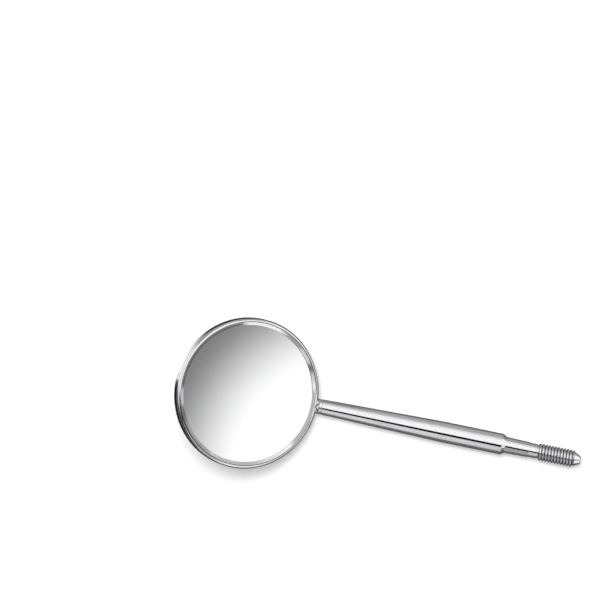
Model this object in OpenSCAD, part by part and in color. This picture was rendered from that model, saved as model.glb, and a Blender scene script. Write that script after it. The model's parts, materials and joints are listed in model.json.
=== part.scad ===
// Mouth mirror, size 4: a round mirror in a drawn steel cup on a screw-in stem.
//
// Frame: the origin is on the stem's axis where the thread starts, +X points out of the
// threaded end, +Z is up on the side that the mirror faces, and y = 0 is the symmetry plane.
// All sizes are in millimetres.

/* [Head] */
// Outer diameter of the mirror head
head_d = 22; // [16:0.5:30]
// Angle between the mirror's face and the stem
head_tilt = 26; // [0:1:40]
// Thickness of the sheet that the cup is drawn from
sheet_t = 0.3; // [0.2:0.02:0.36]
// Outer radius of the corner between the cup's back and its wall
back_round = 0.5; // [0.4:0.02:0.6]
// Outer radius of the shoulder where the wall rolls over towards the glass
rim_round = 0.5; // [0.4:0.02:0.6]
// Width of the rolled rim, from the outer wall to the lip's inner edge
rim_w = 1.0; // [0.8:0.05:1.4]
// Depth of the mirror's face below the rim's crest
face_recess = 0.43; // [0.35:0.01:0.8]
// Height of the lip's blunt inner edge above the mirror's face
lip_edge_h = 0.1; // [0.05:0.01:0.2]
// Width of the lip's flat underside, which holds the glass down
lip_seat_w = 0.34; // [0.2:0.02:0.4]

/* [Mirror] */
// Thickness of the glass disc
glass_t = 1.0; // [0.8:0.05:1.6]
// Thickness given to the reflecting layer on the front of the glass
coating_t = 0.02; // [0.01:0.01:0.05]
// Thickness of the pad that beds the glass on the cup's floor
pad_t = 0.15; // [0.1:0.01:0.5]
// Width of the seal between the edge of the glass and the cup's wall
seal_w = 0.2; // [0.1:0.02:0.3]

/* [Stem] */
// Diameter of the stem at the cup
root_d = 2.2; // [1.8:0.05:2.8]
// Length of the taper, from the cup's wall to the straight body
taper_l = 18.9; // [10:0.1:30]
// Diameter of the straight body
body_d = 3.05; // [2.8:0.05:4]
// Length of the straight body
body_l = 8.9; // [4:0.1:20]
// Length of the chamfer at the end of the body
shoulder_l = 0.5; // [0.2:0.05:1]
// Diameter of the neck behind the shoulder
neck_d = 2.36; // [2.3:0.02:2.7]
// Diameter of the neck at its far end
neck_end_d = 2.2; // [2.1:0.02:2.3]
// Length of the neck
neck_l = 3.5; // [2:0.1:6]
// Diameter of the plain land between the neck and the thread
land_d = 2.08; // [2:0.02:2.1]
// Length of that land
land_l = 1.15; // [0.5:0.05:2]
// Length of the run-out groove in front of the thread
groove_l = 0.3; // [0.1:0.05:0.5]
// How far the root reaches in under the cup's rounded corners
root_reach = 0.35; // [0.2:0.05:0.38]
// Leg of the weld fillet between the stem and the cup
weld_leg = 0.45; // [0.2:0.05:0.6]
// How far the dressed weld stays inside the faces of the cup or the sides of the stem
weld_inset = 0.1; // [0.05:0.05:0.3]

/* [Thread] */
// Outer diameter of the thread
thread_d = 2.5; // [2.4:0.05:3]
// Pitch of the thread
thread_pitch = 0.45; // [0.35:0.05:0.5]
// Number of crests
thread_crests = 11; // [6:1:16]
// Length of the plain land between the thread and the cone at the tip
tip_land_l = 0.4; // [0.1:0.05:1]
// Length of the cone at the tip
tip_cone_l = 0.85; // [0.5:0.05:2]
// Diameter of the cone at its small end
tip_cone_d = 1.3; // [1:0.05:1.5]
// Radius of the rounded corner at the end of the tip
tip_round = 0.25; // [0.1:0.05:0.4]

/* [Hidden] */
$fn = 96;

// Points on each rounded corner
corner_steps = 8;
// Extra length on whatever is cut away or trimmed flush
past = 1;

// Head, in its own frame: r outwards from the axis, z along the mirror's normal, z = 0 at half thickness
head_r = head_d / 2;
head_t = sheet_t + pad_t + glass_t + coating_t + face_recess;
crest_z = head_t / 2;
back_z = -head_t / 2;
floor_z = back_z + sheet_t;
glass_z = floor_z + pad_t;
face_z = crest_z - face_recess;
wall_r = head_r - sheet_t;
glass_r = wall_r - seal_w;
lip_r = head_r - rim_w;

// How far round the rolled edge turns inside before it slopes to the lip, in degrees
lip_roll = 60;

// Height of the weld along the mirror's normal
weld_h = min(head_t, root_d) - 2 * weld_inset;

// Stem, along +X from the start of the thread
groove_x = -groove_l;
land_x = groove_x - land_l;
neck_x = land_x - neck_l;
shoulder_x = neck_x - shoulder_l;
body_x = shoulder_x - body_l;
wall_x = body_x - taper_l;
thread_l = thread_crests * thread_pitch;
cone_x = thread_l + tip_land_l;
tip_x = cone_x + tip_cone_l;

// Metric thread form: 60 degree flanks, a crest of an eighth of the pitch and a depth of 0.6134 pitches
thread_depth = 0.6134 * thread_pitch;
thread_root_r = thread_d / 2 - thread_depth;
thread_flank_l = thread_depth * tan(30);
thread_crest_l = thread_pitch / 8;
thread_root_l = thread_pitch - thread_crest_l - 2 * thread_flank_l;

// Points along an arc about [cx, cy], from angle a to angle b
function arc(cx, cy, radius, a, b) =
    [for (i = [0:corner_steps]) let (t = a + (b - a) * i / corner_steps)
        [cx + radius * cos(t), cy + radius * sin(t)]];

// Places its children, drawn in the head's own frame, at the end of the stem
module at_head() {
    translate([wall_x, 0, 0])
        rotate([0, head_tilt, 0])
            translate([-head_r, 0, 0])
                children();
}

// Turns an outline of [radius, x] points about the stem's axis
module turned() {
    rotate([0, 90, 0])
        rotate_extrude()
            children();
}

// The cup's outside as a filled outline, up to the crest of the rim
module cup_outline() {
    polygon(concat(
        [[0, back_z]],
        arc(head_r - back_round, back_z + back_round, back_round, -90, 0),
        arc(head_r - rim_round, crest_z - rim_round, rim_round, 0, 90),
        [[0, crest_z]]));
}

// The room inside the cup, under the rolled lip
module cavity_outline() {
    polygon(concat(
        [[0, floor_z]],
        arc(head_r - back_round, back_z + back_round, back_round - sheet_t, -90, 0),
        arc(head_r - rim_round, crest_z - rim_round, rim_round - sheet_t, 0, lip_roll),
        [[lip_r + lip_seat_w, face_z], [0, face_z]]));
}

// The opening in the front: straight past the lip's blunt edge, then flared out to the crest
module mouth_outline() {
    polygon([
        [0, face_z], [lip_r, face_z], [lip_r, face_z + lip_edge_h],
        [head_r - rim_round, crest_z], [head_r - rim_round, crest_z + past], [0, crest_z + past]]);
}

// A disc of the glass's diameter between two heights
module disc(from_z, to_z) {
    translate([0, 0, from_z])
        cylinder(r = glass_r, h = to_z - from_z);
}

// The space that the whole head takes up, as the stem and the weld meet it
module head_envelope() {
    at_head()
        rotate_extrude()
            cup_outline();
}

module head_cup() {
    color("lightsteelblue")
        at_head()
            rotate_extrude()
                difference() {
                    cup_outline();
                    cavity_outline();
                    mouth_outline();
                }
}

module backing_pad() {
    color("dimgray")
        at_head()
            disc(floor_z, glass_z);
}

module mirror_glass() {
    color("aquamarine")
        at_head()
            disc(glass_z, face_z - coating_t);
}

module mirror_coating() {
    color("white")
        at_head()
            disc(face_z - coating_t, face_z);
}

// Fills the cup around the glass, down to the floor and up under the lip
module edge_seal() {
    color("black")
        at_head()
            rotate_extrude()
                difference() {
                    cavity_outline();
                    translate([0, back_z])
                        square([glass_r, face_z - back_z]);
                }
}

// One crest of the thread and the flanks beside it, starting at x
function crest(x) = [
    [thread_root_r, x + thread_root_l / 2],
    [thread_d / 2, x + thread_root_l / 2 + thread_flank_l],
    [thread_d / 2, x + thread_root_l / 2 + thread_flank_l + thread_crest_l],
    [thread_root_r, x + thread_pitch - thread_root_l / 2]];

// The stem as it comes off the lathe, still square at the end that meets the cup
module turned_stem() {
    turned()
        polygon(concat(
            [[0, wall_x - past], [root_d / 2, wall_x - past], [root_d / 2, wall_x]],
            [[body_d / 2, body_x], [body_d / 2, shoulder_x]],
            [[neck_d / 2, neck_x], [neck_end_d / 2, land_x]],
            [[land_d / 2, land_x], [land_d / 2, groove_x]],
            [[thread_root_r, groove_x]],
            [for (i = [0:thread_crests - 1]) each crest(i * thread_pitch)],
            [[thread_root_r, cone_x]],
            arc(tip_cone_d / 2 - tip_round, tip_x - tip_round, tip_round, 20, 90),
            [[0, tip_x]]));
}

module stem() {
    color("silver")
        difference() {
            turned_stem();
            head_envelope();
            at_head() {
                // the root is dressed flush with the cup's back
                translate([0, -root_d, back_z - root_d])
                    cube([head_d, 2 * root_d, root_d]);
                // and ends under the rounded corners
                translate([0, -root_d, -head_t])
                    cube([head_r - root_reach, 2 * root_d, 2 * head_t]);
            }
        }
}

// Filler in the two corners between the stem and the cup's wall
module weld_fillets() {
    color("slategray")
        difference() {
            at_head()
                intersection() {
                    translate([head_r - past, 0, 0])
                        rotate([0, 90, 0])
                            rotate_extrude()
                                polygon(concat(
                                    [[0, 0], [root_d / 2 + weld_leg, 0]],
                                    arc(root_d / 2 + weld_leg, past + weld_leg, weld_leg, 265, 185),
                                    [[0, past + weld_leg]]));
                    translate([0, -head_r, -weld_h / 2])
                        cube([head_d, head_d, weld_h]);
                }
            turned_stem();
            head_envelope();
        }
}

head_cup();
backing_pad();
mirror_glass();
mirror_coating();
edge_seal();
stem();
weld_fillets();
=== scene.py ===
# %% [markdown]
# # A mouth mirror
# A mouth mirror is a small round mirror in a drawn steel cup, on a steel stem that screws into a
# handle. Its shape is simple, so what makes it look real is the metal: a soft edge on every corner,
# a thread with a true helix, fine marks from the lathe, and a studio worth reflecting.
# The CAD part is loaded first as a fixed frame. Everything here is placed and sized from it.

# %% Load the CAD frame
import json
import math

import bmesh
import bpy
import numpy as np
from mathutils import Matrix, Vector

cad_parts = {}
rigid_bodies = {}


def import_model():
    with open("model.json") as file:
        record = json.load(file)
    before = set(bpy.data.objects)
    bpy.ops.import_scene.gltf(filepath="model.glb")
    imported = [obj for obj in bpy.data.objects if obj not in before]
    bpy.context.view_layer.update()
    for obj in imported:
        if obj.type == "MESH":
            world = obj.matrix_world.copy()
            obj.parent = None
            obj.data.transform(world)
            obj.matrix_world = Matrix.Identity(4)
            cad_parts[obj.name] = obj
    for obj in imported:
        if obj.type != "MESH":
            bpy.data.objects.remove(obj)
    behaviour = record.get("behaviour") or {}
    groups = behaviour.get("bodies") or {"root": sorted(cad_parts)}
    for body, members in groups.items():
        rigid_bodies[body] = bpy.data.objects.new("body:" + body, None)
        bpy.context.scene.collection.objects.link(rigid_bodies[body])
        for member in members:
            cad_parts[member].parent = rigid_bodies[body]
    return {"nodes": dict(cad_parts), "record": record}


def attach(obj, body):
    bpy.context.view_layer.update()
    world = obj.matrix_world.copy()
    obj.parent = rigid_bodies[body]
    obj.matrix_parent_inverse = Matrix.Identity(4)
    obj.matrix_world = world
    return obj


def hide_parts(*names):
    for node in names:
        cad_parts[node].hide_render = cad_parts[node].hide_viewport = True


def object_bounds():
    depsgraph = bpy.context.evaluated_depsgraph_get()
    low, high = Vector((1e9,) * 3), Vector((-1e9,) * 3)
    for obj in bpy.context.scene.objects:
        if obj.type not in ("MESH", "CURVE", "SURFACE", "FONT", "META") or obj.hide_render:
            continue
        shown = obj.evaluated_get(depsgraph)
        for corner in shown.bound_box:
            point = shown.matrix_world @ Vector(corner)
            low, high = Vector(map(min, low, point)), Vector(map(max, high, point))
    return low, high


for leftover in list(bpy.data.objects):
    bpy.data.objects.remove(leftover)
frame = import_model()
cad_low, cad_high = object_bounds()
MM = 0.001
print("CAD box in mm:", [round(v / MM, 2) for v in (*cad_low, *cad_high)])

# %% [markdown]
# ## The camera
# The object is seen from almost straight above through a long lens, so there is little perspective.
# A camera looks along its own -Z, so its rotation is built from the image's right, its up and the
# direction back from the object. The distance keeps the whole object in a square frame.

# %% Place the camera
LENS_MM = 200
SENSOR_MM = 36
VIEW_DISTANCE = 488.441 * MM
AIM = Vector((-38.587, 14.709, 0)) * MM
TOWARDS_CAMERA = Vector((0.068282, 0.016774, 0.997539)).normalized()
IMAGE_UP = Vector((-0.199727, 0.979862, -0.002805))

camera_data = bpy.data.cameras.new("camera")
camera_data.lens = LENS_MM
camera_data.sensor_width = SENSOR_MM
camera_data.clip_start = 10 * MM
camera_data.clip_end = 20.0
camera = bpy.data.objects.new("camera", camera_data)
bpy.context.collection.objects.link(camera)
bpy.context.scene.camera = camera

image_right = IMAGE_UP.cross(TOWARDS_CAMERA).normalized()
image_up = TOWARDS_CAMERA.cross(image_right)
turn = Matrix((image_right, image_up, TOWARDS_CAMERA)).transposed()
camera.matrix_world = Matrix.Translation(AIM + TOWARDS_CAMERA * VIEW_DISTANCE) @ turn.to_4x4()
print("camera at", [round(v, 4) for v in camera.matrix_world.translation])

# %% [markdown]
# ## Measure the frame
# The head leans against the stem, so it is easiest to model lying flat in its own frame and then to
# tilt into place. The record's mount on the cup's back gives that frame. The sizes are read off the
# CAD meshes, so the looks follow the part if it is ever resized.

# %% Find the head's own frame
back_mount = next(m for m in frame["record"]["mounts"] if m["name"] == "cup_back")
face_normal = -Vector(back_mount["axis"]).normalized()
across = Vector((0, 1, 0))
to_stem = across.cross(face_normal).normalized()
head_place = Matrix((to_stem, across, face_normal)).transposed().to_4x4()
head_place.translation = Vector(back_mount["pos_m"])
print("the head leans", round(math.degrees(math.acos(face_normal.z)), 1), "degrees")


def points_of(node, place):
    """A CAD node's vertices as an array, seen from a frame, in mm."""
    away = np.array(place.inverted())
    co = np.array([v.co for v in frame["nodes"][node].data.vertices])
    return (co @ away[:3, :3].T + away[:3, 3]) / MM


def in_head(p):
    """An array of points in mm, seen from the head's own frame."""
    away = np.array(head_place.inverted())
    return ((p * MM) @ away[:3, :3].T + away[:3, 3]) / MM


# %% Read the head's sizes
cup = points_of("head_cup", head_place)
cup_radii = np.hypot(cup[:, 0], cup[:, 1])
HEAD_R = cup_radii.max()
HEAD_T = cup[:, 2].max()
FACE_Z = points_of("mirror_coating", head_place)[:, 2].max()
FLOOR_Z = points_of("backing_pad", head_place)[:, 2].min()
LIP_R = cup_radii[cup[:, 2] > FACE_Z + 0.01].min()
SHEET_T = FLOOR_Z
CORNER_R = 0.5
print("head, mm: radius %.2f, thickness %.2f" % (HEAD_R, HEAD_T))
print("mirror's face at %.2f mm, lip's radius %.2f mm" % (FACE_Z, LIP_R))

# %% Read the stem's sizes
stem_points = points_of("stem", Matrix.Identity(4))
stem_radii = np.hypot(stem_points[:, 1], stem_points[:, 2])
thread_mount = next(m for m in frame["record"]["mounts"] if m["name"] == "stem_thread")
THREAD_R = thread_mount["dims"]["r_mm"]
CRESTS = 11
STANDARD_PITCH = 0.45
CREST_L = STANDARD_PITCH / 8
PITCH = (thread_mount["dims"]["length_mm"] - CREST_L) / (CRESTS - 1)
wall_point = head_place @ Vector((HEAD_R * MM, 0, HEAD_T / 2 * MM))
WALL_X = wall_point.x / MM
TIP_X = stem_points[:, 0].max()
print("stem, mm: from the wall at %.2f to the tip at %.2f, pitch %.3f" % (WALL_X, TIP_X, PITCH))

# %% [markdown]
# ## Turned shapes
# The cup is spun and the stem is turned on a lathe, so both are an outline swept round an axis. A
# Bevel modifier could soften their edges, but it gives every edge one width. Here each corner has
# its own radius, because that radius is what catches the light. The helper below rounds an
# outline's corners. It adds a point close to each end of every straight stretch, so that smooth
# shading stays flat there.

# %% Round the corners of an outline
HOLD = 0.02


def rounded(outline, steps=5):
    """outline is a list of (u, v, radius), and the result a list of (u, v) with arcs at its corners."""
    made = [Vector(outline[0][:2])]
    for before, here, after in zip(outline, outline[1:], outline[2:]):
        corner = Vector(here[:2])
        back = Vector(before[:2]) - corner
        onward = Vector(after[:2]) - corner
        opening = back.angle(onward)
        radius = here[2]
        if radius == 0 or opening > math.pi - 0.001:
            made.append(corner)
            continue
        run = min(radius / math.tan(opening / 2), 0.45 * min(back.length, onward.length))
        start = corner + back.normalized() * run
        end = corner + onward.normalized() * run
        inwards = (back.normalized() + onward.normalized()).normalized()
        middle = corner + inwards * (run / math.cos(opening / 2))
        first = start - middle
        swing = first.angle_signed(end - middle)
        hold = min(HOLD, 0.2 * min(back.length, onward.length))
        made.append(start + back.normalized() * hold)
        for i in range(steps + 1):
            angle = -swing * i / steps
            made.append(middle + Matrix.Rotation(angle, 2) @ first)
        made.append(end + onward.normalized() * hold)
    made.append(Vector(outline[-1][:2]))
    return [(p.x, p.y) for p in made]


# %% Sweep an outline round an axis
def finish_mesh(bm, name, place=None):
    """Turns a bmesh in mm into a smooth object in metres."""
    bmesh.ops.remove_doubles(bm, verts=bm.verts, dist=0.0002)
    bmesh.ops.dissolve_degenerate(bm, edges=bm.edges, dist=0.0001)
    bmesh.ops.recalc_face_normals(bm, faces=bm.faces)
    bmesh.ops.scale(bm, vec=(MM, MM, MM), verts=bm.verts)
    mesh = bpy.data.meshes.new(name)
    bm.to_mesh(mesh)
    bm.free()
    mesh.shade_smooth()
    piece = bpy.data.objects.new(name, mesh)
    bpy.context.collection.objects.link(piece)
    if place is not None:
        piece.matrix_world = place
    print(name, "has", len(mesh.polygons), "faces")
    return piece


def sweep(bm, rings, closed=False):
    """Joins rings of points, each an array of one shape, with quads."""
    rows = [[bm.verts.new(p) for p in ring] for ring in rings]
    pairs = list(zip(rows, rows[1:]))
    if closed:
        pairs.append((rows[-1], rows[0]))
    for near, far in pairs:
        for i in range(len(near)):
            j = (i + 1) % len(near)
            bm.faces.new((near[i], near[j], far[j], far[i]))
    return rows


# %% [markdown]
# ## The cup
# The real cup is drawn from thin stainless sheet, and its edge is rolled in over the glass to hold it.
# From outside in, the outline is the flat back, a rounded corner, the wall, the rolled shoulder, a
# fine crease where the roller stopped, and a slope down to a blunt lip that stands on the glass.
# The roll is drawn as an arc of its own, since it ends in the crease and not in a straight stretch.
# The inside of the sheet is modelled too, so the cup is a closed shell of the true thickness.

# %% Draw the cup's outline and spin it
CREASE_R = HEAD_R - CORNER_R
CREASE_DEPTH = 0.10
ROLL_END = 83
LIP_EDGE = 0.1
LIP_SEAT = 0.34
SOFT = 0.03
SHARP = 0.01
CENTRE_R = 0.5
roll = [
    (CREASE_R + CORNER_R * math.cos(angle), HEAD_T - CORNER_R + CORNER_R * math.sin(angle))
    for angle in np.radians(np.linspace(0, ROLL_END, 14))
]
cup_outline = [
    (CENTRE_R, 0, 0),
    (HEAD_R, 0, CORNER_R),
    (HEAD_R, HEAD_T - CORNER_R - HOLD, 0),
    *[(radius, height, 0) for radius, height in roll[:-1]],
    (*roll[-1], SOFT),
    (CREASE_R, HEAD_T - CREASE_DEPTH, SHARP),
    (CREASE_R - 0.05, HEAD_T - 0.03, SOFT),
    (LIP_R, FACE_Z + LIP_EDGE, SOFT),
    (LIP_R, FACE_Z, SHARP),
    (LIP_R + LIP_SEAT, FACE_Z, SOFT),
    (HEAD_R - SHEET_T, HEAD_T - CORNER_R, 0.1),
    (HEAD_R - SHEET_T, SHEET_T, CORNER_R - SHEET_T),
    (CENTRE_R, SHEET_T, 0),
]
AROUND_HEAD = 288


def spun_cup():
    """The cup as one closed shell, with a small flat disc at its centre."""
    bm = bmesh.new()
    angles = np.arange(AROUND_HEAD) * 2 * np.pi / AROUND_HEAD
    rings = []
    for radius, height in rounded(cup_outline, steps=8):
        level = np.full(AROUND_HEAD, height)
        rings.append(np.stack([radius * np.cos(angles), radius * np.sin(angles), level], 1))
    rows = sweep(bm, rings)
    bm.faces.new(rows[0])
    bm.faces.new(rows[-1])
    return finish_mesh(bm, "rolled_cup", head_place)


rolled_cup = spun_cup()
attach(rolled_cup, "root")
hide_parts("head_cup")

# %% [markdown]
# ## The stem
# The stem is turned from bar: a long taper, a straight body, a chamfered shoulder, a neck and a
# rolled thread. The CAD stem has rings in place of a helix, so its plain part is read off the CAD
# mesh and only the thread is drawn anew.

# %% Read the turned outline off the CAD stem
def turned_corners(x_from, x_to):
    """The corners of the CAD stem's outline between two places on its axis, as (x, radius) in mm."""
    rounded_x = np.round(stem_points[:, 0], 2)
    corners = []
    for x in np.unique(rounded_x[(rounded_x >= x_from) & (rounded_x <= x_to)]):
        here = stem_radii[rounded_x == x]
        radii = [here.max(), here.min()] if np.ptp(here) > 0.02 else [here.max()]
        corners += [(x, radius) for radius in radii]
    kept = corners[:1]
    for before, here, after in zip(corners, corners[1:], corners[2:]):
        slope_in = math.atan2(here[1] - before[1], here[0] - before[0])
        slope_out = math.atan2(after[1] - here[1], after[0] - here[0])
        if abs(slope_out - slope_in) > math.radians(1):
            kept.append(here)
    return kept + corners[-1:]


THREAD_START = 0
plain_corners = turned_corners(WALL_X + 2, THREAD_START - 0.1)
print("the plain stem's corners, mm:", [(round(x, 2), round(r, 3)) for x, r in plain_corners])
tip_corners = turned_corners(PITCH * CRESTS + 0.01, TIP_X)
print("the tip's corners, mm:", [(round(x, 2), round(r, 3)) for x, r in tip_corners])

# %% Soften the outline's corners
taper_slope = (plain_corners[1][1] - plain_corners[0][1]) / (plain_corners[1][0] - plain_corners[0][0])
ROOT_R = plain_corners[0][1] - taper_slope * (plain_corners[0][0] - WALL_X)
THREAD_ROOT_R = plain_corners[-1][1]
EDGE_R = 0.05
CRISP_R = 0.015
NOSE_EDGE_R = 0.25
ROOT_X = WALL_X + 1.0
ROOT_HOLD = 0.04
root_radius = ROOT_R + taper_slope * (ROOT_X - WALL_X)
plain_outline = [(ROOT_X, root_radius, 0), (ROOT_X + ROOT_HOLD, root_radius + ROOT_HOLD * taper_slope, 0)]
plain_outline += [(x, radius, EDGE_R) for x, radius in plain_corners[1:]]
SHOULDER_FOOT = 4
plain_outline[SHOULDER_FOOT] = (*plain_outline[SHOULDER_FOOT][:2], CRISP_R)
print("plain outline:", [(round(x, 2), round(r, 3), e) for x, r, e in plain_outline])
RIBBON_START = THREAD_START - 0.12
plain_outline.append((RIBBON_START, THREAD_ROOT_R, 0))
cone_slope = (tip_corners[1][1] - tip_corners[0][1]) / (tip_corners[1][0] - tip_corners[0][0])
nose_radius = tip_corners[0][1] + cone_slope * (TIP_X - tip_corners[0][0])
THREAD_END = tip_corners[0][0] - 0.1
tip_outline = [
    (THREAD_END, THREAD_ROOT_R, 0),
    (tip_corners[0][0], THREAD_ROOT_R, EDGE_R),
    (TIP_X, nose_radius, NOSE_EDGE_R),
    (TIP_X, 0.1, 0),
]
print("stem radius at the wall %.2f mm, at the nose %.2f mm" % (ROOT_R, nose_radius))

# %% [markdown]
# ## The thread
# A rolled thread is one profile that moves along the axis as it turns. A Screw modifier could make
# it, but not the ends, where a real crest dies away. So the mesh is one long ribbon: its columns are
# the points of a single crest, and each row is that profile a little further round. The end of every
# row meets the start of the row one turn later. Where the ribbon would run past the thread's ends it
# is clamped to the end, and the crest sinks into the root first.

# %% Make the helical ribbon
AROUND_STEM = 144
FIRST_CREST_X = 0.12
RUN_OUT = 0.22
ROLLED_CREST = 0.15
CREST_ROUND = 0.09
ROOT_ROUND = 0.03
FLANK_ANGLE = math.radians(30)


def thread_profile():
    """One crest from root to root, as (x, height) in mm, with x from 0 to the pitch."""
    depth = THREAD_R - THREAD_ROOT_R
    flank = depth * math.tan(FLANK_ANGLE)
    root = (PITCH - ROLLED_CREST - 2 * flank) / 2
    outline = [
        (0, 0, 0),
        (root, 0, ROOT_ROUND),
        (root + flank, depth, CREST_ROUND),
        (root + flank + ROLLED_CREST, depth, CREST_ROUND),
        (PITCH - root, 0, ROOT_ROUND),
        (PITCH, 0, 0),
    ]
    return rounded(outline, steps=3)


def thread_rows():
    """Rows of points along the ribbon, one for each step round the axis."""
    profile = thread_profile()
    first_row = -2 * AROUND_STEM
    last_row = (CRESTS + 2) * AROUND_STEM
    rows = []
    for step in range(first_row, last_row + 1):
        angle = 2 * math.pi * step / AROUND_STEM
        shift = FIRST_CREST_X - PITCH / 2 + PITCH * step / AROUND_STEM
        crest_x = shift + PITCH / 2
        rise = min(crest_x - RIBBON_START, THREAD_END - crest_x) / RUN_OUT
        share = min(max(rise, 0), 1)
        share = share * share * (3 - 2 * share)
        row = []
        for x, height in profile:
            place = min(max(x + shift, RIBBON_START), THREAD_END)
            radius = THREAD_ROOT_R + height * share
            row.append((place, radius * math.cos(angle), radius * math.sin(angle)))
        rows.append(row)
    return rows


print("one crest has", len(thread_profile()), "points, and the ribbon", len(thread_rows()), "rows")

# %% Build the stem in one closed mesh
UNDER_WELD = 0.15
BACK_GAP = 0.03


def ring_about_x(x, radius):
    """A ring of points round the stem's axis."""
    angles = np.arange(AROUND_STEM) * 2 * np.pi / AROUND_STEM
    return np.stack([np.full(AROUND_STEM, x), radius * np.cos(angles), radius * np.sin(angles)], 1)


def tilted_end_ring():
    """The stem's hidden end: inside the cup's wall, under the weld and clear of the cup's back."""
    ring = ring_about_x(WALL_X, ROOT_R - UNDER_WELD)
    slant = face_normal.x / face_normal.z
    ring[:, 0] += ring[:, 2] * slant - UNDER_WELD
    below = np.minimum(in_head(ring)[:, 2] - BACK_GAP, 0)
    return ring - below[:, None] * np.array(face_normal)


def threaded_stem():
    """The plain part, the tip and the helical ribbon between them."""
    bm = bmesh.new()
    rings = [tilted_end_ring(), ring_about_x(ROOT_X - 0.2, root_radius - 0.03)]
    rings += [ring_about_x(x, radius) for x, radius in rounded(plain_outline)]
    rows = sweep(bm, rings)
    bm.faces.new(rows[0])
    rows = sweep(bm, [ring_about_x(x, radius) for x, radius in rounded(tip_outline, steps=8)])
    bm.faces.new(rows[-1])
    ribbon = [[bm.verts.new(point) for point in row] for row in thread_rows()]
    for near, far in zip(ribbon, ribbon[1:]):
        for i in range(len(near) - 1):
            bm.faces.new((near[i], near[i + 1], far[i + 1], far[i]))
    return finish_mesh(bm, "threaded_stem")


threaded_stem_piece = threaded_stem()
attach(threaded_stem_piece, "root")
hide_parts("stem")

# %% [markdown]
# ## The weld
# The stem is welded end-on to the cup's wall. Weld metal flows into a soft fillet that no straight
# outline can draw. A Boolean with a bevel could join the two, but its edges break up where round
# meets round. So the surface is worked out as a smooth blend of two solids: the stem, and the cup
# with its rounded corners. Each is written as a distance, and the blend of the two distances is zero
# on the weld's surface. Rays go out from a point inside the wall until they meet that surface. Below,
# the weld is cut off flush with the cup's back, as a real one is dressed.

# %% Write the two solids as distances
ROD_IN_WALL = 0.12
ROD_UNDER_CUP = 0.23
ROD_END_ROUND = 0.25


def smooth_less(a, b, reach):
    """The smaller of two distances, blended where they are within reach of each other."""
    share = np.clip(0.5 + 0.5 * (b - a) / reach, 0, 1)
    return b + (a - b) * share - reach * share * (1 - share)


def distance_to_cup(p):
    """From the outside of the cup, taken as a solid disc with rounded corners."""
    q = in_head(p)
    beyond = np.hypot(q[:, 0], q[:, 1]) - (HEAD_R - CORNER_R)
    above = np.abs(q[:, 2] - HEAD_T / 2) - (HEAD_T / 2 - CORNER_R)
    outside = np.hypot(np.maximum(beyond, 0), np.maximum(above, 0))
    return outside + np.minimum(np.maximum(beyond, above), 0) - CORNER_R


def distance_to_rod(p):
    """From the tapered stem, whose end goes further in where the cup's back corner curves away."""
    side = np.hypot(p[:, 1], p[:, 2]) - (ROOT_R + taper_slope * (p[:, 0] - WALL_X))
    q = in_head(p)
    near_back = np.clip((CORNER_R - q[:, 2]) / SHEET_T, 0, 1)
    end = HEAD_R - q[:, 0] - (ROD_IN_WALL + ROD_UNDER_CUP * near_back)
    return -smooth_less(-side, -end, ROD_END_ROUND)


# %% Shoot rays to the weld's surface
WELD_REACH = 0.25
HIDE = 0.006
MARK = Vector((WALL_X + 0.32, -0.03, ROOT_R + 0.02))
MARK_SHAPE = np.array([1.0, 0.6, 1.0])
MARK_R = 0.25
RIDGE_H = 0.045
RIDGE_W = 0.06
FURTHEST = 2.6


def weld_distance(p):
    """From the weld: the blend of both solids, with a round ridge on top and cut flush below."""
    together = smooth_less(distance_to_rod(p), distance_to_cup(p), WELD_REACH)
    to_mark = np.linalg.norm((p - np.array(MARK)) * MARK_SHAPE, axis=1)
    together = together - RIDGE_H * np.exp(-(((to_mark - MARK_R) / RIDGE_W) ** 2))
    return np.maximum(together, -in_head(p)[:, 2])


def weld_surface(directions, start):
    """How far each ray goes from start until it leaves the weld, in mm."""
    near = np.zeros(len(directions))
    far = np.full(len(directions), FURTHEST)
    for _ in range(40):
        middle = (near + far) / 2
        inside = weld_distance(start + directions * middle[:, None]) < -HIDE
        near = np.where(inside, middle, near)
        far = np.where(inside, far, middle)
    return near


# %% Mesh the weld as a closed ring
AROUND_WELD = 288
ALONG_WELD = 64
WELD_CORE = np.array([WALL_X - 0.35, 0, -0.1])
CORE_SHARE = 0.4
STEM_LEAN = 36
CUP_LEAN = 98
CUP_LEAN_SWING = 21
SINK = 0.012
SINK_ROWS = 3


def weld_collar():
    """Rings of ray ends, from the stem to the cup. The ends sink in, so that no edge shows."""
    turns = np.arange(AROUND_WELD) * 2 * np.pi / AROUND_WELD
    first_lean = math.radians(STEM_LEAN)
    last_lean = np.radians(CUP_LEAN - CUP_LEAN_SWING * np.sin(turns))
    rings = []
    for i in range(ALONG_WELD):
        lean = first_lean + (last_lean - first_lean) * i / (ALONG_WELD - 1)
        aside, up = np.sin(lean) * np.cos(turns), np.sin(lean) * np.sin(turns)
        directions = np.stack([np.cos(lean), aside, up], 1)
        length = weld_surface(directions, WELD_CORE)
        from_edge = min(i, ALONG_WELD - 1 - i)
        sink = SINK * max(0, 1 - from_edge / SINK_ROWS)
        rings.append(WELD_CORE + directions * (length - sink)[:, None])
    inner_end = WELD_CORE + (rings[-1] - WELD_CORE) * CORE_SHARE
    inner_start = WELD_CORE + (rings[0] - WELD_CORE) * CORE_SHARE
    bm = bmesh.new()
    sweep(bm, rings + [inner_end, inner_start], closed=True)
    return finish_mesh(bm, "weld_collar")


weld_collar_piece = weld_collar()
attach(weld_collar_piece, "root")
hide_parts("weld_fillets")

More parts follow.
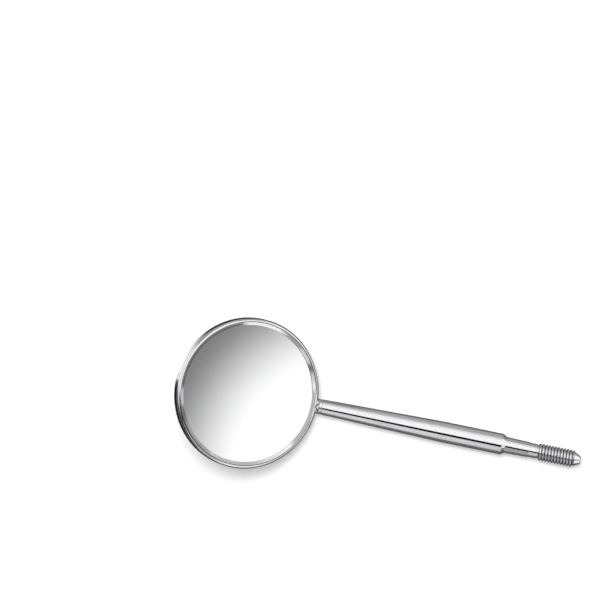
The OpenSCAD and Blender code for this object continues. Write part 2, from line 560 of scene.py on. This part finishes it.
# %% [markdown]
# ## Floor and studio
# Polished metal has no look of its own: it shows the studio. So the studio is drawn in the world
# shader, as bands of light by direction: a broad white ceiling, a thin dark gap beside it, a light
# grey side and a darker one. The floor adds a little of its own light where the camera or a
# reflection sees it, which keeps it white and keeps the object's soft shadow.

# %% Lay the floor
FLOOR_LEVEL = cad_low.z - 0.01 * MM
FLOOR_SIZE = 1.5
FLOOR_COLOUR = 0.80
FLOOR_GLOW = 0.25


def new_material(name):
    """An empty node material and its tree."""
    material = bpy.data.materials.new(name)
    material.use_nodes = True
    material.node_tree.nodes.clear()
    return material, material.node_tree


def add(tree, kind, **settings):
    """Adds a node and sets its properties."""
    node = tree.nodes.new(kind)
    for key, value in settings.items():
        setattr(node, key, value)
    return node


def maths(tree, operation, a, b=None, c=None, clamp=False):
    """A Math node whose inputs are sockets or numbers. Returns its output."""
    node = add(tree, "ShaderNodeMath", operation=operation, use_clamp=clamp)
    for slot, value in zip(node.inputs, (a, b, c)):
        if value is None:
            continue
        if isinstance(value, bpy.types.NodeSocket):
            tree.links.new(value, slot)
        else:
            slot.default_value = value
    return node.outputs[0]


def floor_material():
    """White to look at from above, and clear from below."""
    material, tree = new_material("white_floor")
    link = tree.links.new
    output = add(tree, "ShaderNodeOutputMaterial")
    diffuse = add(tree, "ShaderNodeBsdfDiffuse")
    diffuse.inputs["Color"].default_value = (FLOOR_COLOUR, FLOOR_COLOUR, FLOOR_COLOUR, 1)
    glow = add(tree, "ShaderNodeEmission")
    rays = add(tree, "ShaderNodeLightPath")
    seen = maths(tree, "MAXIMUM", rays.outputs["Is Camera Ray"], rays.outputs["Is Glossy Ray"])
    seen = maths(tree, "MAXIMUM", seen, rays.outputs["Is Transmission Ray"])
    link(maths(tree, "MULTIPLY", seen, FLOOR_GLOW), glow.inputs["Strength"])
    both = add(tree, "ShaderNodeAddShader")
    link(diffuse.outputs[0], both.inputs[0])
    link(glow.outputs[0], both.inputs[1])
    clear = add(tree, "ShaderNodeBsdfTransparent")
    sides = add(tree, "ShaderNodeNewGeometry")
    choose = add(tree, "ShaderNodeMixShader")
    link(sides.outputs["Backfacing"], choose.inputs[0])
    link(both.outputs[0], choose.inputs[1])
    link(clear.outputs[0], choose.inputs[2])
    link(choose.outputs[0], output.inputs["Surface"])
    return material


def flat_square(name, size, place):
    """A square that lies flat at a place, facing up."""
    bm = bmesh.new()
    bmesh.ops.create_grid(bm, x_segments=1, y_segments=1, size=size / 2)
    mesh = bpy.data.meshes.new(name)
    bm.to_mesh(mesh)
    bm.free()
    square = bpy.data.objects.new(name, mesh)
    bpy.context.collection.objects.link(square)
    square.matrix_world = place
    return square


floor = flat_square("floor", FLOOR_SIZE, Matrix.Translation((0, 0, FLOOR_LEVEL)))
floor.data.materials.append(floor_material())
print("floor at %.3f mm" % (FLOOR_LEVEL / MM))

# %% Start the world and its helpers
world = bpy.data.worlds.new("studio")
bpy.context.scene.world = world
world.use_nodes = True
sky = world.node_tree
sky.nodes.clear()
direction = add(sky, "ShaderNodeTexCoord").outputs["Generated"]


def between(tree, value, start, end):
    """A soft step from 0 at start to 1 at end."""
    step = add(tree, "ShaderNodeMapRange", interpolation_type="SMOOTHSTEP")
    step.inputs["From Min"].default_value = start
    step.inputs["From Max"].default_value = end
    tree.links.new(value, step.inputs["Value"])
    return step.outputs["Result"]


def blend(tree, share, a, b):
    """Goes from a to b as share goes from 0 to 1. Both may be sockets or numbers."""
    mix = add(tree, "ShaderNodeMix")
    for socket, value in zip((mix.inputs["Factor"], mix.inputs["A"], mix.inputs["B"]), (share, a, b)):
        if isinstance(value, bpy.types.NodeSocket):
            tree.links.new(value, socket)
        else:
            socket.default_value = value
    return mix.outputs["Result"]


def angle_from(centre):
    """Degrees between the ray and a direction."""
    dot = add(sky, "ShaderNodeVectorMath", operation="DOT_PRODUCT")
    sky.links.new(direction, dot.inputs[0])
    dot.inputs[1].default_value = Vector(centre).normalized()
    turn = maths(sky, "ARCCOSINE", dot.outputs["Value"])
    return maths(sky, "MULTIPLY", turn, 180 / math.pi)


def soft_panel(light, centre, full, gone, strength):
    """A round panel: its own strength up to full degrees from its centre, and nothing from gone on."""
    return blend(sky, between(sky, angle_from(centre), full, gone), strength, light)


axes = add(sky, "ShaderNodeSeparateXYZ")
sky.links.new(direction, axes.inputs[0])
lean = maths(sky, "ARCTAN2", axes.outputs["Y"], axes.outputs["Z"])
lean = maths(sky, "MULTIPLY", lean, 180 / math.pi)
MEASURES = {"x": axes.outputs["X"], "z": axes.outputs["Z"], "lean": lean}
print("the studio is measured by", ", ".join(MEASURES))

# %% [markdown]
# ## The studio's bands and patches
# A ray's lean is its angle from straight up, in degrees, seen along the stem. Bands by lean draw long
# straight streaks on the stem: the ceiling gives its white side and the gap its one black line. An
# area light for each would work too, but would also light the floor. A patch is a part of the sky
# with soft limits, and later ones lie over earlier ones.

# %% Paint the bands and the patches
UNDERSIDE = 0.40
LOW_SIDE = 0.90
CEILING = 1.30
FAR_SIDE = 0.46
# Each band: the lean where it starts to show and where it is full, and its strength
BANDS = ((-95, -72, LOW_SIDE), (-27, -18, CEILING), (28, 90, FAR_SIDE))
# Each patch: its limits, as a measure with the values where it starts and is full, and its strength
PATCHES = {
    "dark_gap": ((("lean", -35, -31), ("lean", -8, -11), ("x", -0.20, -0.14)), 0),
    "beside_the_neck": ((("x", 0.005, 0.02), ("lean", -30, -36)), 0.46),
    "over_the_rim": (
        (("x", -0.11, -0.16), ("x", -0.50, -0.42), ("lean", -8, -2), ("lean", 65, 55)),
        0.64,
    ),
    "dark_left": ((("x", -0.125, -0.17), ("lean", -28, -38)), 0.06),
    "dark_right": ((("x", 0.22, 0.34), ("lean", -28, -38), ("z", 0.45, 0.25)), 0.06),
    "near_the_floor": ((("z", 0.24, 0.04), ("x", 0.30, 0.50)), 0.22),
}
studio_light = UNDERSIDE
for start, full, strength in BANDS:
    studio_light = blend(sky, between(sky, lean, start, full), studio_light, strength)
for limits, strength in PATCHES.values():
    inside = 1.0
    for measure, start, full in limits:
        inside = maths(sky, "MULTIPLY", between(sky, MEASURES[measure], start, full), inside)
    studio_light = blend(sky, inside, studio_light, strength)
print(len(BANDS), "bands and", len(PATCHES), "patches")

# %% [markdown]
# ## The studio's panels
# Round panels do the rest: white ones where an edge of the cup should shine, dark flags where it
# should stay black, and a white lamp in a grey shade, whose soft border crosses the mirror. Light
# that falls on dull surfaces is set apart from what metal reflects, so that the shadows can be
# chosen by themselves.

# %% Hang the panels
LAMP = (0.7601, -0.0659, 0.6464)
# Each panel: its direction, where it is full and where it is gone in degrees, and its strength
PANELS = {
    "above_the_lip": ((0.492, -0.858, 0.151), 14, 26, 1.25),
    "below_the_lip": ((0.505, 0.844, 0.178), 14, 24, 0.70),
    "spark": ((0.80, 0.55, 0.22), 10, 18, 1.30),
    "before_the_rim": ((0.72, -0.56, 0.40), 12, 18, 1.25),
    "beside_the_rim": ((0.90, -0.24, 0.34), 12, 18, 1.10),
    "dim_behind_rim": ((0.25, 0.95, 0.15), 10, 16, 0.25),
    "dark_flag_before": ((-0.37, -0.78, 0.50), 12, 15, 0.02),
    "over_the_weld": ((-0.38, -0.10, 0.92), 8, 14, 0.62),
    "dark_flag_left": ((-0.52, -0.78, 0.31), 22, 27, 0.02),
    "dark_flag_far_left": ((-0.80, -0.50, 0.20), 18, 34, 0.02),
    "dark_flag_behind": ((-0.50, 0.80, 0.30), 14, 28, 0.30),
    "window": ((-0.93, 0.26, 0.30), 18, 30, 1.30),
    "lamp_shade": (LAMP, 5, 9, 0.24),
    "lamp": (LAMP, 1.9, 3.5, 1.2),
}
for centre, full, gone, strength in PANELS.values():
    studio_light = soft_panel(studio_light, centre, full, gone, strength)
print(len(PANELS), "panels")

# %% Light the world
FILL_LIGHT = 0.46
BACKDROP = 1.0
rays = add(sky, "ShaderNodeLightPath")
studio_light = blend(sky, rays.outputs["Is Diffuse Ray"], studio_light, FILL_LIGHT)
seen = maths(sky, "MAXIMUM", rays.outputs["Is Camera Ray"], rays.outputs["Is Transmission Ray"])
background = add(sky, "ShaderNodeBackground")
background.inputs["Color"].default_value = (1, 1, 1, 1)
sky.links.new(blend(sky, seen, studio_light, BACKDROP), background.inputs["Strength"])
world_output = add(sky, "ShaderNodeOutputWorld")
sky.links.new(background.outputs[0], world_output.inputs["Surface"])
print("the world has", len(sky.nodes), "nodes")

# %% [markdown]
# ## Cards for the reflections
# A polished edge on a white floor would vanish, because it mirrors the floor. In a real studio, dark
# card is laid round the object to draw those edges, and a white one where an edge should shine. Here
# the cards lie on the floor and only reflections see them: not the camera, and not the lamps.

# %% Lay the cards
def card_material(name, fade_share, shade):
    """An even glow that fades out towards the card's border."""
    material, tree = new_material(name)
    link = tree.links.new
    where = add(tree, "ShaderNodeTexCoord").outputs["Generated"]
    parts = add(tree, "ShaderNodeSeparateXYZ")
    link(where, parts.inputs[0])
    cover = None
    for axis, fade in zip("XY", fade_share):
        from_middle = maths(tree, "ABSOLUTE", maths(tree, "SUBTRACT", parts.outputs[axis], 0.5))
        inside = between(tree, from_middle, 0.5, 0.5 - fade)
        cover = inside if cover is None else maths(tree, "MULTIPLY", cover, inside)
    clear = add(tree, "ShaderNodeBsdfTransparent")
    glow = add(tree, "ShaderNodeEmission")
    glow.inputs["Strength"].default_value = shade
    mix = add(tree, "ShaderNodeMixShader")
    link(cover, mix.inputs[0])
    link(clear.outputs[0], mix.inputs[1])
    link(glow.outputs[0], mix.inputs[2])
    output = add(tree, "ShaderNodeOutputMaterial")
    link(mix.outputs[0], output.inputs["Surface"])
    return material


# Each card, in mm: where it starts and ends along x and along y, its soft border, and then its shade
CARDS = {
    "dark_card_in_front": (-190, 120, -150, 0, 1.0, 0.20),
    "grey_card_behind": (-190, 120, 0, 150, 1.0, 0.50),
    "dark_card_under_stem": (WALL_X - 4, TIP_X + 6, -9, 9, 7.5, 0.12),
    "dark_card_behind_head": (WALL_X - 26, WALL_X + 8, 8, 34, 4, 0.03),
    "dark_card_left_of_head": (WALL_X - 40, WALL_X - 2, -30, 1, 4, 0.02),
    "white_card_left_of_head": (WALL_X - 44, WALL_X - 18, -2, 12, 5, 1.3),
}


LAYER_GAP = 0.01


def lay_card(name, layer, x_from, x_to, y_from, y_to, fade, shade):
    """Lays one card just above the floor and above the cards before it."""
    width, depth = x_to - x_from, y_to - y_from
    level = FLOOR_LEVEL / MM + LAYER_GAP * layer
    place = Matrix.Translation(Vector(((x_from + x_to) / 2, (y_from + y_to) / 2, level)) * MM)
    card = flat_square(name, 1, place @ Matrix.Diagonal((width * MM, depth * MM, 1, 1)))
    card.data.materials.append(card_material(name, (fade / width, fade / depth), shade))
    card.visible_camera = False
    card.visible_diffuse = False
    card.visible_shadow = False
    card.visible_transmission = False


for layer, (name, card) in enumerate(CARDS.items(), 1):
    lay_card(name, layer, *card)
print(len(CARDS), "cards")

# %% [markdown]
# ## The key light
# The soft shadow beside the stem comes from one large lamp, almost overhead. A sun would make it too
# sharp. The metal doesn't see this lamp, because the ceiling in the sky is already its reflection.

# %% Hang the key light
KEY_SIZE = 0.28
KEY_POWER = 3.2
KEY_FROM = Vector((-0.10, 0.17, 0.67))
key_data = bpy.data.lights.new("key_light", "AREA")
key_data.shape = "DISK"
key_data.size = KEY_SIZE
key_data.energy = KEY_POWER
key_light = bpy.data.objects.new("key_light", key_data)
bpy.context.collection.objects.link(key_light)
facing = KEY_FROM.to_track_quat("Z", "Y").to_matrix().to_4x4()
key_light.matrix_world = Matrix.Translation(KEY_FROM) @ facing
key_light.visible_glossy = False
print("key light %.2f m away" % KEY_FROM.length)

# %% [markdown]
# ## Shared finishes
# The same few effects turn up on several surfaces: tool marks, hairlines, the film of handling,
# moulded grain and painted shade in recesses and along one ridge. Painted images would do for one piece,
# but a node group is built once and placed wherever it is needed, with its own values. A group works in the
# piece's own coordinates, so its marks stay on the metal whatever the view. Lengths go in as millimetres.

# %% Start a node group
def new_group(name, inputs, outputs):
    """A shader node group with float sockets, and vector ones where the name is Place."""
    group = bpy.data.node_groups.new(name, "ShaderNodeTree")
    for socket, default in inputs.items():
        kind = "NodeSocketVector" if socket == "Place" else "NodeSocketFloat"
        made = group.interface.new_socket(socket, in_out="INPUT", socket_type=kind)
        if default is not None:
            made.default_value = default
    for socket in outputs:
        group.interface.new_socket(socket, in_out="OUTPUT", socket_type="NodeSocketFloat")
    inner_in = add(group, "NodeGroupInput").outputs
    inner_out = add(group, "NodeGroupOutput").inputs
    return group, inner_in, inner_out


def place_group(tree, group, **inputs):
    """Puts a group into a material and sets or links its inputs."""
    node = add(tree, "ShaderNodeGroup")
    node.node_tree = group
    for socket, value in inputs.items():
        if isinstance(value, bpy.types.NodeSocket):
            tree.links.new(value, node.inputs[socket])
        else:
            node.inputs[socket].default_value = value
    return node.outputs


def joined(tree, x, y, z):
    """A vector from three numbers or sockets."""
    node = add(tree, "ShaderNodeCombineXYZ")
    for slot, value in zip(node.inputs, (x, y, z)):
        if isinstance(value, bpy.types.NodeSocket):
            tree.links.new(value, slot)
        else:
            slot.default_value = value
    return node.outputs[0]


def noise(tree, vector, scale, detail, roughness=0.5):
    """Noise from 0 to 1, centred on a half."""
    node = add(tree, "ShaderNodeTexNoise")
    tree.links.new(vector, node.inputs["Vector"])
    node.inputs["Scale"].default_value = scale
    node.inputs["Detail"].default_value = detail
    node.inputs["Roughness"].default_value = roughness
    return node.outputs["Fac"]


# %% Marks left by a tool that goes round
def tool_marks_group():
    """Fine rings: noise that changes quickly along the feed and slowly round the axis."""
    group, given, made = new_group("tool_marks", {"Feed": 0, "Turn": 0, "Fineness": 8}, ["Marks", "Breaks"])
    across = maths(group, "MULTIPLY", given["Feed"], given["Fineness"])
    slow_turn = maths(group, "MULTIPLY", given["Turn"], 0.9)
    rings = noise(group, joined(group, across, slow_turn, 0.0), 1.0, 3, 0.6)
    coarse = maths(group, "MULTIPLY", across, 0.21)
    broad = noise(group, joined(group, coarse, slow_turn, 7.0), 1.0, 2)
    coarser = maths(group, "MULTIPLY", across, 0.1)
    breaks = noise(group, joined(group, coarser, given["Turn"], 3.0), 2.0, 2)
    group.links.new(blend(group, 0.35, rings, broad), made["Marks"])
    group.links.new(breaks, made["Breaks"])
    return group


# %% Hairline scratches
WIPES = ((25, 1.3), (-50, 5.1), (80, 9.7))
HAIRLINE_SHEET = (14.0, 0.35, 14.0)
PATCH_SHARPNESS = 8


def hairlines_group():
    """Thin lines where stretched noise crosses its middle, kept only in scattered patches."""
    group, given, made = new_group("hairlines", {"Place": None, "Amount": 0.3, "Width": 0.02}, ["Lines"])
    least = maths(group, "SUBTRACT", 1.0, given["Amount"])
    least = maths(group, "MULTIPLY", least, 0.7)
    lines = None
    for turn, seed in WIPES:
        turned = add(group, "ShaderNodeMapping", vector_type="TEXTURE")
        turned.inputs["Rotation"].default_value = (0.3, 0.2, math.radians(turn))
        turned.inputs["Location"].default_value = (seed, seed, seed)
        turned.inputs["Scale"].default_value = HAIRLINE_SHEET
        group.links.new(given["Place"], turned.inputs["Vector"])
        value = noise(group, turned.outputs[0], 0.8, 0)
        off_middle = maths(group, "ABSOLUTE", maths(group, "SUBTRACT", value, 0.5))
        line = maths(group, "SUBTRACT", 1.0, maths(group, "DIVIDE", off_middle, given["Width"]), clamp=True)
        patch = maths(group, "SUBTRACT", noise(group, turned.outputs[0], 0.35, 1), least)
        kept = maths(group, "MULTIPLY", patch, PATCH_SHARPNESS, clamp=True)
        line = maths(group, "MULTIPLY", line, kept)
        lines = line if lines is None else maths(group, "MAXIMUM", lines, line)
    group.links.new(lines, made["Lines"])
    return group


# %% Film and grain
def handling_film_group():
    """The soft cloudy film that handling and steam leave: noise at two sizes."""
    group, given, made = new_group("handling_film", {"Place": None, "Cloud": 0.35}, ["Film"])
    wide = add(group, "ShaderNodeVectorMath", operation="SCALE")
    group.links.new(given["Place"], wide.inputs[0])
    group.links.new(given["Cloud"], wide.inputs["Scale"])
    large = noise(group, wide.outputs[0], 1.0, 3, 0.55)
    small = noise(group, wide.outputs[0], 5.3, 2)
    group.links.new(blend(group, 0.25, large, small), made["Film"])
    return group


def moulded_grain_group():
    """The pebbled skin of moulded rubber."""
    group, given, made = new_group("moulded_grain", {"Place": None, "Pebbles": 9}, ["Grain"])
    cells = add(group, "ShaderNodeTexVoronoi", feature="SMOOTH_F1")
    group.links.new(given["Place"], cells.inputs["Vector"])
    group.links.new(given["Pebbles"], cells.inputs["Scale"])
    fine = maths(group, "MULTIPLY", noise(group, given["Place"], 30, 2), 0.3)
    group.links.new(maths(group, "ADD", cells.outputs["Distance"], fine), made["Grain"])
    return group


def painted_shade_band_group():
    """Where shade is painted: 1 at the bottom of a recess and 0 at its edge, with a ragged border."""
    inputs = {"Height": 0, "Bottom": 0, "Top": 1, "Place": None}
    group, given, made = new_group("painted_shade_band", inputs, ["Tarnish"])
    ragged = maths(group, "SUBTRACT", noise(group, given["Place"], 4, 2), 0.5)
    ragged = maths(group, "MULTIPLY", ragged, 0.05)
    span = maths(group, "SUBTRACT", given["Top"], given["Bottom"])
    rise = maths(group, "DIVIDE", maths(group, "SUBTRACT", given["Height"], given["Bottom"]), span)
    depth = maths(group, "SUBTRACT", 1.0, maths(group, "ADD", rise, ragged), clamp=True)
    group.links.new(depth, made["Tarnish"])
    return group


tool_marks = tool_marks_group()
hairlines = hairlines_group()
handling_film = handling_film_group()
moulded_grain = moulded_grain_group()
painted_shade_band = painted_shade_band_group()
print("shared node groups:", [group.name for group in bpy.data.node_groups])

# %% [markdown]
# ## Steel
# Stainless steel has no coat and no dye: it is a mirror with a slight grey. What tells it from
# chrome is its fine tool marks, which shade the reflection and blur it a little. An anisotropic
# shader gives that blur but no marks to see close up, so the marks are real relief. One function
# makes every steel here. It takes the feed of the tool, the depth of its marks and where shade is painted
# near-black.

# %% Build a Principled material
def new_surface(name):
    """A material with one Principled shader. Returns it, its tree, its shader and its place in mm."""
    material, tree = new_material(name)
    output = add(tree, "ShaderNodeOutputMaterial")
    shader = add(tree, "ShaderNodeBsdfPrincipled")
    tree.links.new(shader.outputs[0], output.inputs["Surface"])
    millimetres = add(tree, "ShaderNodeVectorMath", operation="SCALE")
    tree.links.new(add(tree, "ShaderNodeTexCoord").outputs["Object"], millimetres.inputs[0])
    millimetres.inputs["Scale"].default_value = 1 / MM
    return material, tree, shader, millimetres.outputs[0]


def colour_between(tree, share, a, b):
    """A colour that goes from a to b as share goes from 0 to 1. Both may be sockets or colours."""
    mix = add(tree, "ShaderNodeMix", data_type="RGBA")
    tree.links.new(share, mix.inputs[0])
    for socket, colour in ((mix.inputs[6], a), (mix.inputs[7], b)):
        if isinstance(colour, bpy.types.NodeSocket):
            tree.links.new(colour, socket)
        else:
            socket.default_value = (*colour, 1)
    return mix.outputs[2]


def add_bump(tree, shader, height, depth_mm):
    """Turns a height from 0 to 1 into relief of that depth."""
    bump = add(tree, "ShaderNodeBump")
    bump.inputs["Distance"].default_value = depth_mm * MM
    tree.links.new(height, bump.inputs["Height"])
    tree.links.new(bump.outputs[0], shader.inputs["Normal"])


def spread(tree, value, low, high):
    """Maps 0..1 to low..high without limits."""
    return maths(tree, "MULTIPLY_ADD", value, high - low, low)


# %% Turned and spun steel
STEEL = (0.75, 0.75, 0.76)
STEEL_DULL = (0.64, 0.64, 0.66)
# Painted shade: the near-black that stands in for shade in the thread's grooves, the cup's crease and along
# the weld's ridge
PAINTED_SHADE = (0.06, 0.06, 0.065)
STEEL_BLUR = (0.02, 0.12)
BREAKS_BLUR = 0.03
LINES_BLUR = 0.10
PAINTED_SHADE_BLUR = 0.25


def round_axis(tree, place, axis):
    """Where a point lies along an axis through the origin, its distance from it, and its angle."""
    parts = add(tree, "ShaderNodeSeparateXYZ")
    tree.links.new(place, parts.inputs[0])
    along, a, b = (parts.outputs[i] for i in {"X": (0, 1, 2), "Z": (2, 0, 1)}[axis])
    squares = maths(tree, "ADD", maths(tree, "MULTIPLY", a, a), maths(tree, "MULTIPLY", b, b))
    return along, maths(tree, "SQRT", squares), maths(tree, "ARCTAN2", b, a)


def steel_surface(name, marks_of, marks_depth, painted_shade_of):
    """The two functions given return, from the tree and the place, the inputs of their groups: the tool
    marks, and where shade is painted.
    """
    material, tree, shader, place = new_surface(name)
    marks = place_group(tree, tool_marks, **marks_of(tree, place))
    film = place_group(tree, handling_film, Place=place, Cloud=0.4)["Film"]
    lines = place_group(tree, hairlines, Place=place, Amount=0.40, Width=0.010)["Lines"]
    dull = maths(tree, "MULTIPLY", spread(tree, marks["Marks"], -1.1, 2.3), 0.7)
    dull = maths(tree, "ADD", dull, maths(tree, "MULTIPLY", lines, 0.5), clamp=True)
    # Painted shade: this mask paints the steel near-black where shade would fall
    painted_shade = place_group(tree, painted_shade_band, Place=place, **painted_shade_of(tree, place))["Tarnish"]
    colour = colour_between(tree, painted_shade, colour_between(tree, dull, STEEL, STEEL_DULL), PAINTED_SHADE)
    blur = spread(tree, film, *STEEL_BLUR)
    for mask, share in ((lines, LINES_BLUR), (marks["Breaks"], BREAKS_BLUR), (painted_shade, PAINTED_SHADE_BLUR)):
        blur = maths(tree, "MULTIPLY_ADD", mask, share, blur)
    tree.links.new(colour, shader.inputs["Base Color"])
    tree.links.new(blur, shader.inputs["Roughness"])
    shader.inputs["Metallic"].default_value = 1
    relief = maths(tree, "SUBTRACT", marks["Marks"], maths(tree, "MULTIPLY", lines, 0.15))
    add_bump(tree, shader, relief, marks_depth)
    return material


# %% The lathe's marks on the stem, and painted shade in the thread grooves
def stem_marks(tree, place):
    """The feed runs along the stem."""
    along, _, turn = round_axis(tree, place, "X")
    return {"Feed": along, "Turn": turn, "Fineness": 7}


def thread_recess(tree, place):
    """Where shade is painted in the grooves of the thread, without the plain land and the tip beside them.
    """
    along, distance, _ = round_axis(tree, place, "X")
    before = between(tree, along, THREAD_START, THREAD_START - 0.2)
    after = between(tree, along, THREAD_END, THREAD_END + 0.1)
    height = maths(tree, "ADD", distance, maths(tree, "ADD", before, after))
    return {"Height": height, "Bottom": THREAD_ROOT_R - 0.02, "Top": THREAD_ROOT_R + 0.12}


# %% The roller's marks on the cup, and painted shade in its crease
CREASE_W = 0.07


def cup_marks(tree, place):
    """The feed runs outwards on the faces and up on the wall."""
    along, distance, turn = round_axis(tree, place, "Z")
    return {"Feed": maths(tree, "ADD", distance, along), "Turn": turn, "Fineness": 6}


def crease_recess(tree, place):
    """Painted shade in the crease between the rolled shoulder and the lip, and nothing below the front."""
    along, distance, _ = round_axis(tree, place, "Z")
    from_crease = maths(tree, "ABSOLUTE", maths(tree, "SUBTRACT", distance, CREASE_R))
    below = between(tree, along, HEAD_T - 0.2, HEAD_T - 0.3)
    return {"Height": maths(tree, "ADD", from_crease, below), "Bottom": 0.0, "Top": CREASE_W}


# %% The dressed weld, and the painted dark line on it
PAINTED_LINE_W = 0.07


def weld_marks(tree, place):
    """The strokes of a fine stone, a little askew to the stem."""
    along, _, turn = round_axis(tree, place, "X")
    askew = maths(tree, "MULTIPLY_ADD", turn, 0.25, along)
    return {"Feed": askew, "Turn": turn, "Fineness": 4}


def painted_ridge_line(tree, place):
    """A dark line painted along the ridge round the weld's end, standing in for a dark reflection, as a
    distance from that line.
    """
    away = add(tree, "ShaderNodeVectorMath", operation="SUBTRACT")
    tree.links.new(place, away.inputs[0])
    away.inputs[1].default_value = MARK
    shaped = add(tree, "ShaderNodeVectorMath", operation="MULTIPLY")
    tree.links.new(away.outputs[0], shaped.inputs[0])
    shaped.inputs[1].default_value = MARK_SHAPE
    length = add(tree, "ShaderNodeVectorMath", operation="LENGTH")
    tree.links.new(shaped.outputs[0], length.inputs[0])
    from_line = maths(tree, "ABSOLUTE", maths(tree, "SUBTRACT", length.outputs["Value"], MARK_R))
    return {"Height": from_line, "Bottom": 0.0, "Top": PAINTED_LINE_W}


# %% Make the three steels
MARKS_DEPTH = {"stem": 0.0012, "cup": 0.0025, "weld": 0.006}
stem_steel = steel_surface("stem_steel", stem_marks, MARKS_DEPTH["stem"], thread_recess)
cup_steel = steel_surface("cup_steel", cup_marks, MARKS_DEPTH["cup"], crease_recess)
weld_steel = steel_surface("weld_steel", weld_marks, MARKS_DEPTH["weld"], painted_ridge_line)
print("steels:", [steel.name for steel in (stem_steel, cup_steel, weld_steel)])

# %% [markdown]
# ## Mirror, glass, rubber
# The reflecting layer is on the front of the glass and is far smoother than the steel. It could be
# a glossy shader alone, but a used one has a faint film and a few hairlines, so it uses the same
# groups as the steel with smaller values. The glass below it is clear, and finely ground where its film is
# thick. The seal and the pad are dark rubber with a moulded grain, which only a section or an open cup
# would show.

# %% Reflecting layer, glass and rubber
MIRROR = (0.885, 0.885, 0.885)
MIRROR_FILMED = (0.865, 0.868, 0.87)
GLASS = (0.80, 0.90, 0.87)
GLASS_FILMED = (0.90, 0.96, 0.94)
GLASS_IOR = 1.52
GRAIN_DEPTH = 0.01


def mirror_surface():
    """A coating of metal with a faint film and a few hairlines."""
    material, tree, shader, place = new_surface("mirror_coating")
    film = place_group(tree, handling_film, Place=place, Cloud=0.12)["Film"]
    lines = place_group(tree, hairlines, Place=place, Amount=0.35, Width=0.006)["Lines"]
    colour = colour_between(tree, spread(tree, film, -0.5, 1.5), MIRROR, MIRROR_FILMED)
    tree.links.new(colour, shader.inputs["Base Color"])
    blur = maths(tree, "ADD", spread(tree, film, 0.008, 0.022), maths(tree, "MULTIPLY", lines, 0.03))
    tree.links.new(blur, shader.inputs["Roughness"])
    shader.inputs["Metallic"].default_value = 1
    return material


def glass_surface():
    """Clear glass, finely ground where the film is thick."""
    material, tree, shader, place = new_surface("ground_glass")
    film = place_group(tree, handling_film, Place=place, Cloud=1.5)["Film"]
    tree.links.new(colour_between(tree, film, GLASS, GLASS_FILMED), shader.inputs["Base Color"])
    tree.links.new(spread(tree, film, 0.02, 0.30), shader.inputs["Roughness"])
    shader.inputs["Transmission Weight"].default_value = 1
    shader.inputs["IOR"].default_value = GLASS_IOR
    return material


def rubber_surface(name, colour, paler, pebbles):
    """Moulded rubber, with its number of pebbles to a millimetre."""
    material, tree, shader, place = new_surface(name)
    grain = place_group(tree, moulded_grain, Place=place, Pebbles=pebbles)["Grain"]
    film = place_group(tree, handling_film, Place=place, Cloud=0.8)["Film"]
    tree.links.new(colour_between(tree, film, colour, paler), shader.inputs["Base Color"])
    tree.links.new(spread(tree, film, 0.50, 0.80), shader.inputs["Roughness"])
    add_bump(tree, shader, grain, GRAIN_DEPTH)
    return material


# %% Dress every piece
def dress(piece, material):
    """Gives a piece one material."""
    piece.data.materials.clear()
    piece.data.materials.append(material)


dress(rolled_cup, cup_steel)
dress(threaded_stem_piece, stem_steel)
dress(weld_collar_piece, weld_steel)
dress(frame["nodes"]["mirror_coating"], mirror_surface())
dress(frame["nodes"]["mirror_glass"], glass_surface())
seal_rubber = rubber_surface("seal_rubber", (0.03, 0.03, 0.032), (0.07, 0.07, 0.07), pebbles=9)
pad_rubber = rubber_surface("pad_rubber", (0.15, 0.15, 0.155), (0.24, 0.24, 0.24), pebbles=4)
dress(frame["nodes"]["edge_seal"], seal_rubber)
dress(frame["nodes"]["backing_pad"], pad_rubber)
print(len(bpy.data.materials), "materials")

# %% [markdown]
# ## Finish
# Colours are shown as they are, without a film curve.

# %% Finish
bpy.context.scene.view_settings.view_transform = "Standard"
